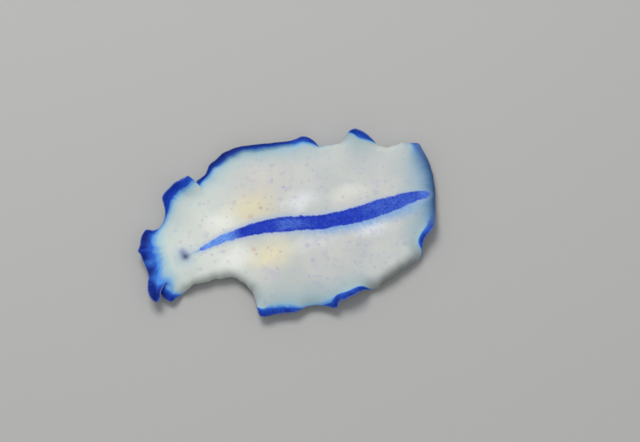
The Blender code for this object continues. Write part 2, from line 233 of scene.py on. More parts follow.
# %% Two kinds of curve
def cubic(at, values, slope, x):
    i = np.clip(np.searchsorted(at, x) - 1, 0, len(at) - 2)
    h = at[i + 1] - at[i]
    t = (x - at[i]) / h
    return ((1 + 2 * t) * (1 - t) ** 2 * values[i] + t * (1 - t) ** 2 * h * slope[i]
            + t * t * (3 - 2 * t) * values[i + 1] + t * t * (t - 1) * h * slope[i + 1])


def smooth_through(at, values, x):
    step = np.diff(at)
    rise = np.diff(values) / step
    slope = np.r_[rise[0], (step[1:] * rise[:-1] + step[:-1] * rise[1:]) / (step[1:] + step[:-1]),
                  rise[-1]]
    return cubic(at, values, slope, x)


def steady_through(at, values, x):
    step = np.diff(at)
    rise = np.diff(values) / step
    slope = np.zeros_like(values)
    same = rise[:-1] * rise[1:] > 0
    w1, w2 = 2 * step[1:] + step[:-1], step[1:] + 2 * step[:-1]
    slope[1:-1][same] = ((w1 + w2)[same]
                         / (w1[same] / rise[:-1][same] + w2[same] / rise[1:][same]))
    return cubic(at, values, slope, x)


# %% The closed margin, by length
stations = np.array(FRONT_MARGIN[:-1] + RIGHT_MARGIN[:-1] + TAIL_MARGIN[::-1][:-1]
                    + LEFT_MARGIN[::-1][:-1])
corner_at = np.cumsum([0, len(FRONT_MARGIN) - 1, len(RIGHT_MARGIN) - 1, len(TAIL_MARGIN) - 1])
closed = np.concatenate((stations[-4:], stations, stations[:5]))
chord = np.r_[0, np.cumsum(np.hypot(*np.diff(closed[:, :2], axis=0).T))]
fine = np.linspace(chord[4], chord[-5], 6001)
curve = np.stack([smooth_through(chord, closed[:, k], fine) for k in (0, 1)]
                 + [steady_through(chord, closed[:, k], fine) for k in range(2, 7)], -1)
length = np.r_[0, np.cumsum(np.hypot(*np.diff(curve[:, :2], axis=0).T))]
ROUND = length[-1]
corner_length = np.r_[np.interp(chord[4 + corner_at], fine, length), ROUND]


def margin(s):
    """What the stations say at the length s along the margin."""
    return np.stack([np.interp(s, length, column) for column in curve.T], -1)


print("margin is", round(float(ROUND), 1), "mm round, with", len(stations), "stations")

# %% [markdown]
# A sheet inside the margin
#
# A grid is the natural start for a sheet: its squares become patches of skin and its border
# becomes the margin. But a grid that is simply stretched between opposite sides folds over
# itself in the bays. The cure is to relax it, as a net of springs that also tries to keep
# its squares square: the lines then fan out into each lobe and never cross. The net is
# relaxed on a few cells first, and then on twice as many, and so on.

# %% Net of the sheet, seen from above
def border(along, across):
    """Places of the four sides: left and right along the body, front and tail across it."""
    def side(k, u):
        return margin(corner_length[k] + u * (corner_length[k + 1] - corner_length[k]))

    return (side(3, (1 - along) / 2), side(1, (1 + along) / 2),
            side(0, (1 + across) / 2), side(2, (1 - across) / 2))


def set_border(net):
    left, right, front, tail = border(np.linspace(-1, 1, net.shape[0]),
                                      np.linspace(-1, 1, net.shape[1]))
    net[:, 0], net[:, -1] = left[:, :2], right[:, :2]
    net[0], net[-1] = front[:, :2], tail[:, :2]


def relax(net, rounds):
    """Let every inner point slide towards the place that its neighbours ask for."""
    for _ in range(rounds):
        up, down, fore, aft = net[1:-1, 2:], net[1:-1, :-2], net[2:, 1:-1], net[:-2, 1:-1]
        a = np.sum((up - down) ** 2, -1, keepdims=True) / 4
        g = np.sum((fore - aft) ** 2, -1, keepdims=True) / 4
        b = np.sum((fore - aft) * (up - down), -1, keepdims=True) / 4
        cross = (net[2:, 2:] - net[2:, :-2] - net[:-2, 2:] + net[:-2, :-2]) / 4
        goal = (a * (fore + aft) + g * (up + down) - 2 * b * cross) / (2 * (a + g))
        net[1:-1, 1:-1] += 0.9 * (goal - net[1:-1, 1:-1])


def refine(values, at_rows, at_columns):
    """Values of a grid at other places along its two sides, on smooth curves."""
    for at in (at_rows, at_columns):
        here = np.linspace(-1, 1, len(values))
        flat = values.reshape(len(values), -1)
        new = np.stack([smooth_through(here, column, at) for column in flat.T], -1)
        values = new.reshape(len(at), *values.shape[1:]).swapaxes(0, 1)
    return values


rows, columns = 19, 11
net = np.zeros((rows, columns, 2))
set_border(net)
for k in range(1, rows - 1):
    net[k, 1:-1] = net[k, :1] + np.linspace(0, 1, columns)[1:-1, None] * (net[k, -1] - net[k, 0])
for _ in range(4):
    relax(net, 400)
    if rows < 145:
        rows, columns = 2 * rows - 1, 2 * columns - 1
        net = refine(net, np.linspace(-1, 1, rows), np.linspace(-1, 1, columns))
        set_border(net)
print("net:", net.shape[:2])

# %% [markdown]
# What each point of the sheet feels
#
# Every point of the sheet is pulled by the whole margin, most by its nearest part. The
# weight falls with the sixth power of the distance near the margin, and more gently deep
# inside, which gives soft averages of the stations' values. Their sum also gives a distance
# to the margin that has no creases inside lobes.

# %% Skin grid and its place in the net
CELLS_ALONG, CELLS_ACROSS = 304, 160


def step(low, high, x):
    t = np.clip((x - low) / (high - low), 0, 1)
    return t * t * (3 - 2 * t)


bpy.ops.object.select_all(action="DESELECT")
bpy.ops.mesh.primitive_grid_add(x_subdivisions=CELLS_ALONG, y_subdivisions=CELLS_ACROSS, size=2)
skin = bpy.context.object
skin.name = skin.data.name = "skin"
co = np.empty(len(skin.data.vertices) * 3)
skin.data.vertices.foreach_get("co", co)
p, q = co.reshape(-1, 3)[:, :2].T
row = np.rint((p + 1) / 2 * CELLS_ALONG).astype(int)
column = np.rint((q + 1) / 2 * CELLS_ACROSS).astype(int)
along = np.linspace(-1, 1, CELLS_ALONG + 1)
across = np.linspace(-1, 1, CELLS_ACROSS + 1)
along, across = 1.2 * along - 0.2 * along ** 3, 1.25 * across - 0.25 * across ** 3
flat = refine(net, along, across)
left, right, front, tail = border(along, across)
flat[:, 0], flat[:, -1], flat[0], flat[-1] = left[:, :2], right[:, :2], front[:, :2], tail[:, :2]
print("skin grid:", flat.shape[:2], "points")

# %% Distance from the margin, and averages of what it says
RIM_STEPS = 2400
rim_length = (np.arange(RIM_STEPS) + 0.5) / RIM_STEPS * ROUND
rim = margin(rim_length)
ahead = margin((rim_length + 0.05) % ROUND)[:, :2] - margin((rim_length - 0.05) % ROUND)[:, :2]
ahead /= np.linalg.norm(ahead, axis=1, keepdims=True)
outwards = np.stack((-ahead[:, 1], ahead[:, 0]), -1)
if np.sum(outwards * (rim[:, :2] - rim[:, :2].mean(0))) < 0:
    outwards = -outwards
angle = rim_length / ROUND * 2 * math.pi
told = np.c_[rim[:, 2:], outwards, ahead, np.cos(angle), np.sin(angle)]
STRAIGHT = 3 * math.pi / 8 * RIM_STEPS / ROUND      # sum of the weights 1 mm from a straight edge

rim_tuck = step(60, 110, -rim[:, 3])
felt, from_margin, gently = [], [], []
for part in np.array_split(flat.reshape(-1, 2), 60):
    gap = np.sum((part[:, None, :] - rim[:, :2]) ** 2, -1) + 0.015 ** 2
    total = (1 / gap ** 3).sum(1)
    nearest = np.sqrt(gap.min(1))
    weight = gap ** -(3 - 1.5 * step(0.9, 3.5, nearest))[:, None]
    felt.append(weight @ told / weight.sum(1)[:, None])
    gentle = (gap + 1.2) ** -2.5
    gently.append(gentle @ np.c_[rim[:, 6], rim_tuck] / gentle.sum(1)[:, None])
    share = np.clip((nearest - 0.06) / 0.3, 0, 1)
    from_margin.append((1 - share) * np.maximum(nearest - 0.015, 0) + share * (STRAIGHT / total) ** 0.2)
felt = np.concatenate(felt).reshape(*flat.shape[:2], -1)
inside = np.concatenate(from_margin).reshape(flat.shape[:2])
# soft averages of the grey of the painted shade on the tail's band, and of how far the margin is tucked
# under
tail_shade_grey, shaded = np.concatenate(gently).T.reshape(2, *flat.shape[:2])
for edge, exact in (((slice(None), 0), left), ((slice(None), -1), right), ((0,), front), ((-1,), tail)):
    inside[edge] = 0
    felt[edge][..., :5] = exact[..., 2:]
print("farthest from the margin:", round(float(inside.max()), 2), "mm")

# %% [markdown]
# Heights and curls
#
# The back is a low dome. Near the margin it blends into the height that the stations give,
# and the last millimetre turns along an arc: outwards and up where the edge is lifted,
# outwards and down where it is tucked under. The arc is stretched so that the margin is
# still seen from above where the station put it. A tucked edge has no straight hem: the
# height at which it ends above the ground wavers, as the hem of a soft curtain does.

# %% Dome, lift and curl
BACK = ((-15.3, 1.5), (-11.0, 1.6), (-9.2, 1.85), (-6.1, 2.15), (-3.0, 2.25), (1.0, 2.2),
        (7.0, 2.1), (15.0, 1.95))           # x and height of the middle line, in mm
DOME, HALF_WIDTH, LIFT_FADE = 0.22, 8.5, 4.0
ARC, HEM = 1.25, 0.55                       # width of the curling edge, height of a tucked hem
around = np.arctan2(felt[..., 10], felt[..., 9]) % (2 * math.pi) / (2 * math.pi) * ROUND


def waves(s, *parts):
    return sum(size * np.sin(2 * math.pi * s / long + start) for long, size, start in parts)


x_back, z_back = zip(*BACK)
crown = np.interp(flat[..., 0], x_back, z_back)
reach = 1 - np.clip(inside / HALF_WIDTH, 0, 1)
dome = crown * (1 - DOME * reach ** 2)
level = dome + reach ** LIFT_FADE * (felt[..., 0] - crown * (1 - DOME))
curl = np.radians(felt[..., 1])
curl = np.where(np.abs(curl) < 1e-3, 1e-3, curl)
tucked = step(60, 110, -felt[..., 1])
clearance = HEM + waves(around, (5.9, 0.14, 3.5), (3.3, 0.09, 4.1))
room = (felt[..., 0] - clearance) / (1 - np.cos(np.minimum(curl, -math.pi / 2)))
fold = ARC + tucked * (np.minimum(room, ARC) - ARC)
stretch = np.where(np.abs(curl) < math.pi / 2, curl / np.sin(curl), np.abs(curl))
share = np.clip(1 - inside / fold, 0, 1)
radius = fold * stretch / curl
away, up = radius * np.sin(curl * share) - share * fold, radius * (1 - np.cos(curl * share))
normal = felt[..., 5:7] / np.sqrt(np.sum(felt[..., 5:7] ** 2, -1, keepdims=True) + 0.03)
place = np.concatenate((flat + normal * away[..., None], (level + up)[..., None]), -1)
from_edge = np.where(inside < fold, (1 - share) * fold * stretch, inside - fold + fold * stretch)
print("arcs are", round(float(fold[:, -1].min()), 2), "to", round(float(fold.max()), 2), "mm wide")
print("edge rides between", round(float(place[..., 2].min()), 2), "and",
      round(float(place[..., 2].max()), 2), "mm")

# %% [markdown]
# Folds that lie over each other
#
# Behind the shoulder flap the skin doubles over itself like a lazy S. Such a fold is made
# by sliding the skin both ways towards a line by more than its own length there, while one
# side rises and the other sinks. At the left pseudotentacle the margin has a slit instead,
# and the front lobe lies over the rear one: the rear lobe is slid under it. Both places are
# marked as thin, so that the two layers of skin can later stay clear of each other.

# %% Fold behind the shoulder flap: start on the margin, direction from its upper side, sizes in mm
FOLD_START, FOLD_TOWARDS = (-8.60, 6.905), (0.68, 0.73)
FOLD_HALF, FOLD_SLIDE, FOLD_DROP, FOLD_DEPTH = 0.70, 0.58, 0.75, 2.1
thin = np.zeros(flat.shape[:2])


def beside(start, towards):
    """How far points lie along a direction, and along the one a quarter turn right of it."""
    gap = flat - np.array(start)
    return gap @ np.array(towards), gap @ np.array((towards[1], -towards[0]))


u, _ = beside(FOLD_START, FOLD_TOWARDS)
u, far = u / FOLD_HALF, np.linalg.norm(flat - np.array(FOLD_START), axis=-1)
local = step(2.6, 1.2, np.abs(u)) * step(FOLD_DEPTH, 0.2, inside) * (far < 2 * FOLD_DEPTH)
moved = -FOLD_SLIDE * np.sin(math.pi * np.clip(u, -1, 1)) * local
place[..., :2] += moved[..., None] * np.array(FOLD_TOWARDS)
place[..., 2] -= FOLD_DROP * (0.40 * np.tanh(6 * (u + 0.36)) + 0.12 * np.tanh(6 * (u - 0.36))) * local
thin = np.maximum(thin, local)
print("fold slides", round(float(np.abs(moved).max()), 2), "mm")

# %% Lap at the left pseudotentacle: inner end of the slit, direction across it, sizes in mm
LAP_START, LAP_TOWARDS = np.array((-13.245, -2.48)), np.array((0.825, -0.566))
LAP_SLIDE, LAP_DROP = 0.60, 0.30
u, out = beside(LAP_START, LAP_TOWARDS)
lobes = step(0.0, 0.45, out) * step(3.0, 2.3, np.hypot(u, out))
under_it = lobes * step(-0.04, 0.04, u) * step(1.1, 0.2, u) * step(1.5, 0.9, out)
place[..., :2] -= (LAP_SLIDE * under_it)[..., None] * LAP_TOWARDS
place[..., 2] -= LAP_DROP * under_it
near_slit = step(-0.9, -0.2, out) * step(3.0, 2.3, np.hypot(u, out)) * step(1.3, 0.6, np.abs(u))
thin = np.maximum(thin, near_slit)
print("rear lobe slides", round(float(LAP_SLIDE * under_it.max()), 2), "mm under the front one")

# %% [markdown]
# Pleats and swells
#
# A ruffled edge is longer than the line it follows, so it flutters: small pleats run in
# from the front margin, and fainter ones from the rest. The back itself is never flat
# either. All of these lift the skin in the direction that it faces, which is read from the
# neighbours of each point. Where the slit ends its two sides lie too close for that, and the
# skin is taken to face straight up.

# %% The direction that the skin faces
slit_share = step(0.8, 0.45, np.linalg.norm(flat - LAP_START, axis=-1))


def facing(place):
    """Unit normals of a grid of points, outwards from the back; straight up at the slit's end."""
    normal = np.cross(np.gradient(place, axis=0), np.gradient(place, axis=1))
    normal /= np.linalg.norm(normal, axis=-1, keepdims=True)
    normal += slit_share[..., None] * (np.array((0, 0, 1)) - normal)
    return normal / np.linalg.norm(normal, axis=-1, keepdims=True)


# %% Pleats and swells of the back
front_share = step(-13.6, -14.9, flat[..., 0]) * step(3.2, 0.3, inside)
edge_share = step(1.4, 0.1, inside)
pleat = waves(around, (1.07, 0.6, 0.0), (1.73, 0.8, 0.4), (2.60, 0.6, 1.9))
x, y = flat[..., 0], flat[..., 1]
swell = (np.sin(0.9 * x + 0.6 * np.sin(0.7 * y)) * np.sin(0.8 * y + 0.9)
         + 0.5 * np.sin(1.7 * x + 1.1 * y + 0.5))
one_side = step(0.55, 0.9, np.linalg.norm(felt[..., 5:7], axis=-1)) * (1 - thin)
ruffle = 0.03 * front_share + 0.015 * edge_share + 0.03 * tucked * step(1.2, 0.4, inside)
lift = ruffle * pleat * one_side + 0.05 * swell * step(0.5, 3.0, inside)
place = place + facing(place) * lift[..., None]
print("pleats and swells move the skin by up to", round(float(np.abs(lift).max()), 2), "mm")

# %% [markdown]
# The wall of the skin
#
# The body is thin as paper at the margin and 2 mm thick in the middle, where it rests on
# its sole. Solidify closes the sheet into a solid, and its inner side is then moved to the
# true underside.

# %% Wall of the skin
THICKNESS = ((0.0, 0.34), (1.2, 0.55), (3.0, 0.95), (6.0, 1.80), (9.0, 2.10))
at, value = zip(*THICKNESS)
wall = np.interp(from_edge, at, value) * (0.30 + 0.70 * np.sqrt(np.clip(from_edge / 0.35, 0, 1)))
wall = wall + thin * (np.minimum(wall, 0.16) - wall)
sole = step(2.7, 4.6, inside) * step(-11.5, -8.5, flat[..., 0])
wall = wall + sole * np.maximum(place[..., 2] + 0.25 - wall, 0)
under = place - facing(place) * wall[..., None]
under[..., 2] = np.maximum(under[..., 2], 0.0)

bpy.context.view_layer.objects.active = skin
solid = skin.modifiers.new("Wall", "SOLIDIFY")
solid.thickness, solid.offset = 0.2, -1.0
bpy.ops.object.modifier_apply(modifier=solid.name)
both = np.concatenate((place[row, column], under[row, column]))
skin.data.vertices.foreach_set("co", (both * MM).ravel())
skin.data.update()
skin.data.shade_smooth()
print("skin:", len(skin.data.polygons) * 2, "triangles")

# %% [markdown]
# Numbers that the colours need
#
# The blue band, its pale rim and the stripe follow the body, not the world, so the skin
# carries them as attributes: how far a point is from the edge along the skin, how wide and
# how soft the band is there, where it lies round the margin, and how far it is from the
# border of the stripe.

# %% Attributes
STRIPE = (                      # middle line x, y and half width in mm
    (-9.60, -0.27, 0.00), (-9.15, -0.18, 0.15), (-8.50, -0.03, 0.27), (-7.20, 0.20, 0.37),
    (-5.50, 0.35, 0.46), (-3.85, 0.40, 0.56), (-2.20, 0.35, 0.70), (-0.60, 0.12, 0.78),
    (1.00, -0.16, 0.72), (2.55, -0.48, 0.74), (4.20, -0.63, 0.72), (5.80, -0.72, 0.78),
    (7.45, -0.69, 0.82), (9.15, -0.55, 0.82), (10.85, -0.42, 0.72), (12.50, -0.28, 0.55),
    (13.35, -0.28, 0.45), (13.80, -0.31, 0.35), (14.05, -0.34, 0.20), (14.15, -0.35, 0.0),
)
line = np.array(STRIPE)
walk = np.r_[0, np.cumsum(np.hypot(*np.diff(line[:, :2], axis=0).T))]
steps = np.linspace(0, walk[-1], 400)
line = np.stack([smooth_through(walk, line[:, 0], steps), smooth_through(walk, line[:, 1], steps),
                 steady_through(walk, line[:, 2], steps)], -1)
from_stripe = np.concatenate([
    np.min(np.hypot(part[:, None, 0] - line[:, 0], part[:, None, 1] - line[:, 1]) - line[:, 2], 1)
    for part in np.array_split(flat.reshape(-1, 2), 40)]).reshape(flat.shape[:2])


def remember(name, top, below=None):
    """Keep a number per vertex, for the top of the skin and for its underside."""
    data = skin.data.attributes.new(name, "FLOAT", "POINT").data
    top = top[row, column]
    below = top if below is None else np.full_like(top, below)
    data.foreach_set("value", np.concatenate((top, below)).astype(np.float32))


remember("edge", from_edge)
remember("band", felt[..., 2])
remember("fade", felt[..., 3])
# grey: share of the painted shade that greys the tail's band
remember("grey", tail_shade_grey)
remember("ring_x", felt[..., 9] * ROUND / (2 * math.pi))
remember("ring_y", felt[..., 10] * ROUND / (2 * math.pi))
remember("stripe", from_stripe, 9.0)
remember("belly", np.zeros_like(inside), 1.0)
remember("tuck", shaded)
print("stripe is", round(float(walk[-1]), 1), "mm long")

# %% [markdown]
# A small language for shader maths
#
# Node trees get long when every sum is a node made by hand. A little class wraps a node's
# output, so that a line of Python reads as the formula it builds. Colours never go through
# these sums, which would turn them grey: they are mixed.

# %% Shader helper
class Value:
    """The output of a node, with the signs of arithmetic."""

    def __init__(self, tree, socket):
        self.tree, self.socket = tree, socket

    def math(self, operation, *others):
        return build(self.tree, "ShaderNodeMath", {"operation": operation},
                     dict(enumerate((self, *others))))

    def __add__(self, other): return self.math("ADD", other)
    def __sub__(self, other): return self.math("SUBTRACT", other)
    def __mul__(self, other): return self.math("MULTIPLY", other)
    def __truediv__(self, other): return self.math("DIVIDE", other)
    def __rsub__(self, other): return (self * -1.0) + other
    __radd__, __rmul__ = __add__, __mul__


def build(tree, kind, settings, links, output=0):
    """Add a node of any kind: its settings first, then the values or links of its sockets."""
    made = tree.nodes.new(kind)
    for name, value in settings.items():
        setattr(made, name, value)
    for name, value in links.items():
        socket = made.inputs[name]
        if isinstance(value, Value):
            tree.links.new(value.socket, socket)
        else:
            socket.default_value = value
    return Value(tree, made.outputs[output])


class Paint:
    """One material's node tree, with the sources that patterns start from."""

    def __init__(self, name):
        self.material = bpy.data.materials.new(name)
        self.material.use_nodes = True
        self.tree = self.material.node_tree
        self.shader = self.tree.nodes["Principled BSDF"]

    def make(self, kind, settings=(), output=0, **links):
        named = {name.replace("_", " "): value for name, value in links.items()}
        return build(self.tree, kind, dict(settings), named, output)

    def attribute(self, name):
        return self.make("ShaderNodeAttribute", {"attribute_name": name}, output="Fac")

    def place(self):
        return self.make("ShaderNodeTexCoord", output="Object")

    def axes(self):
        """x and y of the point, in mm."""
        parts = self.make("ShaderNodeSeparateXYZ", Vector=self.place())
        y = Value(self.tree, parts.socket.node.outputs["Y"])
        return parts * 1000.0, y * 1000.0

    def vector(self, operation, a, b=None, output="Vector", scale=None):
        links = {k: v for k, v in ((0, a), (1, b), ("Scale", scale)) if v is not None}
        return build(self.tree, "ShaderNodeVectorMath", {"operation": operation}, links, output)

    def cloudy(self):
        """A soft random shift of the place, for uneven outlines."""
        return self.vector("SUBTRACT", self.make("ShaderNodeTexNoise", output="Color", Scale=700.0,
                                                 Detail=2.0, Vector=self.place()), (0.5, 0.5, 0.5))

    def channel(self, colour):
        return self.make("ShaderNodeSeparateColor", output="Red", Color=colour)

    def noise(self, scale, detail=2.0, rough=0.5, vector=None):
        return self.make("ShaderNodeTexNoise", Scale=scale, Detail=detail, Roughness=rough,
                         Vector=vector or self.place())

    def range(self, value, low, high, to_low=0.0, to_high=1.0, smooth=True):
        """A ramp from one number to another while the value goes from low to high."""
        kind = "SMOOTHSTEP" if smooth else "LINEAR"
        return self.make("ShaderNodeMapRange", {"interpolation_type": kind},
                         **{"Value": value, "From Min": low, "From Max": high,
                            "To Min": to_low, "To Max": to_high})

    def mix(self, share, a, b):
        """Colour a turning into colour b as the share goes from 0 to 1."""
        made = self.tree.nodes.new("ShaderNodeMix")
        made.data_type = "RGBA"
        for socket, value in ((made.inputs[0], share), (made.inputs[6], a), (made.inputs[7], b)):
            if isinstance(value, Value):
                self.tree.links.new(value.socket, socket)
            else:
                socket.default_value = value if isinstance(value, float) else (*value, 1)
        return Value(self.tree, made.outputs[2])

    def feed(self, **links):
        for name, value in links.items():
            socket = self.shader.inputs[name.replace("_", " ")]
            if isinstance(value, Value):
                self.tree.links.new(value.socket, socket)
            else:
                socket.default_value = value


# %% [markdown]
# The skin's colour
#
# Blue lies in the skin as fine grains, so nothing has a hard border. Towards the edge the
# white turns pale blue, sky blue, royal blue and then almost black blue, and the edge
# itself is a hair-thin pale rim. How far each step reaches comes from the stations, and a
# noise that runs round the margin makes the streaks of the pleats. A slow fade also makes
# the border more ragged. Painted shade greys the band of the tail, and darkens the white
# where the left edge is tucked under.

# %% Paint of the margin
paint = Paint("skin")
edge, band, fade, grey, stripe, belly, tuck, ring_x, ring_y = (
    paint.attribute(name) for name in
    ("edge", "band", "fade", "grey", "stripe", "belly", "tuck", "ring_x", "ring_y"))
x, y = paint.axes()


def streaks(scale, reach=0.35):
    """Noise whose grains are drawn out from the margin inwards."""
    along_rim = paint.make("ShaderNodeCombineXYZ", X=ring_x, Y=ring_y, Z=edge * reach)
    return paint.noise(scale, 2.0, 0.5, along_rim)


def patch(x, y, long, wide, blur=1.6):
    """1 in the middle of an oval place on the back, 0 outside it; all in mm."""
    bent = paint.vector("ADD", paint.place(), paint.vector("SCALE", paint.cloudy(), scale=blur * MM))
    off = paint.vector("SUBTRACT", bent, (x * MM, y * MM, 0))
    off = paint.vector("MULTIPLY", off, (1 / (long * MM), 1 / (wide * MM), 0))
    return paint.range(paint.vector("LENGTH", off, output="Value"), 1.05, 0.0)


wide, narrow = streaks(1.0), streaks(4.5, 0.2)
cloud = paint.noise(330.0, 3.0, 0.55)
grain = paint.noise(2300.0, 3.0, 0.6)
softness = paint.range(fade, 0.10, 0.60, smooth=False)
ragged_edge = edge + ((cloud - 0.5) * 0.26 + (grain - 0.5) * 0.14) * (0.15 + softness * 0.85)
band = band * (1 - belly * 0.4) * (1.0 + (wide - 0.5) * (0.1 + softness * 0.9))
depth = (ragged_edge - band) / fade
print("bands and noises:", len(paint.tree.nodes), "nodes")

# %% White of the back
white = paint.mix(paint.range(cloud, 0.32, 0.68), (0.585, 0.635, 0.610), (0.660, 0.675, 0.640))
white = paint.mix(paint.range(paint.noise(900.0, 3.0, 0.6), 0.3, 0.7) * 0.35, white, (0.60, 0.61, 0.65))
white = paint.mix(paint.range(x, -2.0, -9.5) * 0.85, white, (0.735, 0.785, 0.725))
far_side = paint.range(y, 7.4, 8.4) * paint.range(x, 3.0, 1.8)
halo_share = (0.30 + paint.range(x, -12.5, -9.0) * 0.20 + paint.range(x, 9.5, 12.0) * 0.25
              + paint.range(y, 5.0, 8.0) * 0.20 + paint.range(y, -5.5, -8.0) * 0.22)
halo = paint.range(edge, 3.4, 0.6) * (1 - tuck) * halo_share
colour = paint.mix(halo, white, (0.36, 0.54, 0.60))
colour = paint.mix(paint.range(x, -10.5, -14.5) * 0.40, colour, (0.56, 0.76, 0.76))
# painted shade: the white darkens towards edges that are tucked under on the left side, more towards the
# tail
shade = paint.range(edge + (cloud - 0.5) * 0.5, 2.0, 0.7) * tuck * paint.range(y, 2.0, -2.0)
colour = paint.mix(shade * paint.range(x, 3.0, 8.0, 0.35, 0.72), colour, (0.19, 0.24, 0.20))
print("with the white:", len(paint.tree.nodes), "nodes")

# %% Blues of the margin: sky and azure outside the band, royal and night blue in it
front = paint.range(x, -12.6, -14.0)
sky = paint.mix(far_side, (0.34, 0.58, 0.74), (0.26, 0.42, 0.50))
azure = paint.mix(front, (0.135, 0.36, 0.76), (0.10, 0.34, 0.86))
azure = paint.mix(far_side, azure, (0.075, 0.20, 0.42))
colour = paint.mix(paint.range(depth, 2.3, 0.6) * (0.70 + wide * 0.3), colour, sky)
colour = paint.mix(paint.range(depth, 1.15, 0.2), colour, azure)
far_band = paint.range(x, -8.2, -7.4) * paint.range(x, 5.0, 4.0) * paint.range(y, 5.5, 7.0)
royal = paint.mix(paint.range(wide, 0.35, 0.62), (0.014, 0.075, 0.50), (0.028, 0.135, 0.68))
flank = far_band * paint.range(x, 3.0, 1.0, 0.35, 1.0)
royal = paint.mix(flank * 0.65, royal, (0.003, 0.028, 0.28))
flap = paint.range(x, -8.3, -9.0) * paint.range(x, -12.6, -11.9) * paint.range(y, 3.4, 4.4)
royal = paint.mix(flap * 0.6, royal, (0.006, 0.045, 0.56))
colour = paint.mix(paint.range(depth, 0.36, -0.12), colour, royal)
streak = paint.range(narrow * 0.4 + wide * 0.6, 0.38, 0.62)
night = paint.mix(streak, (0.003, 0.012, 0.18), (0.012, 0.055, 0.46))
night = paint.mix(flank * 0.85, night, (0.001, 0.013, 0.16))
night = paint.mix(flap * 0.6, night, (0.002, 0.014, 0.30))
rim_share = ragged_edge / band.math("MAXIMUM", 0.05)
strength = paint.range(band, 0.30, 0.9, 0.55, 0.95) + flank * 0.30 - flap * 0.3
deep = paint.range(rim_share, 1.05, 0.35) * strength
colour = paint.mix(deep * paint.range(band, 0.05, 0.25), colour, night)
print("with the blues:", len(paint.tree.nodes), "nodes")

# %% Dark and light places in the front band: x, y, length and width in mm
DARK_PLACES = ((-14.70, 2.15, 0.75, 0.80), (-14.85, 0.45, 0.60, 0.70), (-14.75, -0.95, 0.55, 0.75),
               (-14.95, -3.00, 0.85, 1.00), (-14.65, -3.75, 0.60, 0.60), (-13.80, -3.65, 0.45, 0.60))
LIGHT_PLACES = ((-14.35, -0.08, 0.80, 0.60), (-14.00, -1.75, 1.05, 1.00), (-13.80, -2.35, 0.70, 0.75))
in_band = paint.range(depth, 0.35, -0.35)
for where in DARK_PLACES:
    colour = paint.mix(patch(*where, 0.5) * in_band * 0.75, colour, (0.003, 0.014, 0.19))
for where in LIGHT_PLACES:
    colour = paint.mix(patch(*where, 0.8) * 0.60, colour, (0.070, 0.28, 0.84))
print("dark and light places:", len(DARK_PLACES) + len(LIGHT_PLACES))

# %% Painted shade that greys the band of the tail, and the pale rim
tail_shade_reach = edge + (narrow - 0.5) * 0.45 + (cloud - 0.5) * 0.5
colour = paint.mix(paint.range(tail_shade_reach, 4.4, 1.4) * grey * 0.9, colour, (0.33, 0.49, 0.60))
colour = paint.mix(paint.range(tail_shade_reach, 2.3, 0.4) * grey, colour, (0.068, 0.175, 0.39))
colour = paint.mix(paint.range(tail_shade_reach, 0.9, 0.2) * grey * 0.60, colour, (0.022, 0.066, 0.19))
slit_end = patch(-13.30, -2.60, 0.45, 0.45, 0.1)
rim_line = (paint.range(edge, 0.10, 0.03) * (0.25 + narrow * 0.7)
            * paint.range(y, 8.4, 7.2, 0.25, 1.0) * (1 - slit_end))
colour = paint.mix(rim_line * 0.8, colour, (0.22, 0.30, 0.62))
print("margin paint:", len(paint.tree.nodes), "nodes")

# %% [markdown]
# Patches, specks and the stripe
#
# Beside the front of the stripe the gut shows through as two yellowish patches, and the
# skin is brightest next to them. Lilac specks are strewn over the whole back. The stripe
# is packed with blue grains, thinner in some stretches, with a light haze along it.

# %% Large patches: x, y, length and width in mm, share and colour
PATCHES = (
    (-6.6, 1.90, 2.9, 1.8, 0.75, (0.92, 0.93, 0.86)),       # bright, beside the stripe's front
    (-6.1, -1.95, 3.1, 1.9, 0.80, (0.92, 0.94, 0.88)),
    (-3.2, 2.75, 3.8, 2.6, 0.75, (0.86, 0.78, 0.50)),       # yellowish gut
    (-2.5, -2.45, 3.8, 2.2, 0.75, (0.92, 0.85, 0.56)),
    (1.6, 2.10, 2.6, 1.4, 0.75, (0.84, 0.86, 0.88)),        # bright, along the middle
    (2.0, -2.40, 3.6, 1.4, 0.55, (0.82, 0.84, 0.83)),
    (8.0, -2.30, 2.8, 1.4, 0.90, (0.89, 0.92, 0.93)),
    (6.4, 1.70, 3.4, 1.3, 0.60, (0.84, 0.85, 0.76)),
    (-1.5, 5.2, 5.0, 3.2, 0.35, (0.72, 0.66, 0.60)),        # faint brown on the right
    # the next patch is painted shade on the side of the head, towards the bay
    (-10.9, -2.3, 1.9, 1.1, 0.45, (0.52, 0.58, 0.56)),      # grey side of the head
)
for *where, share, tone in PATCHES:
    colour = paint.mix(patch(*where) * share * (1 - belly), colour, tone)
print("patches:", len(PATCHES))

# %% Small brown and purple spots near the gut: x, y and size in mm, colour
SPOTS = (
    (-3.6, 1.75, 0.45, (0.66, 0.40, 0.34)), (-2.4, 2.35, 0.30, (0.42, 0.24, 0.34)),
    (-1.8, 2.1, 0.26, (0.55, 0.34, 0.50)), (-2.5, 2.8, 0.20, (0.60, 0.40, 0.36)),
    (-4.1, -1.55, 0.42, (0.62, 0.40, 0.38)), (-4.0, -2.1, 0.22, (0.45, 0.30, 0.45)),
    (-2.7, -1.75, 0.20, (0.60, 0.40, 0.36)), (-1.6, -2.5, 0.24, (0.50, 0.33, 0.50)),
)
for spot_x, spot_y, size, tone in SPOTS:
    colour = paint.mix(patch(spot_x, spot_y, size, size, 0.25) * 0.50, colour, tone)
print("spots:", len(SPOTS))

# %% Lilac specks: how fine their cells are, size in a cell, shift of the pattern, share
SPECKS = ((640.0, 0.17, 0.0, 0.36), (1050.0, 0.20, 4.1, 0.38), (1700.0, 0.23, 9.3, 0.38))


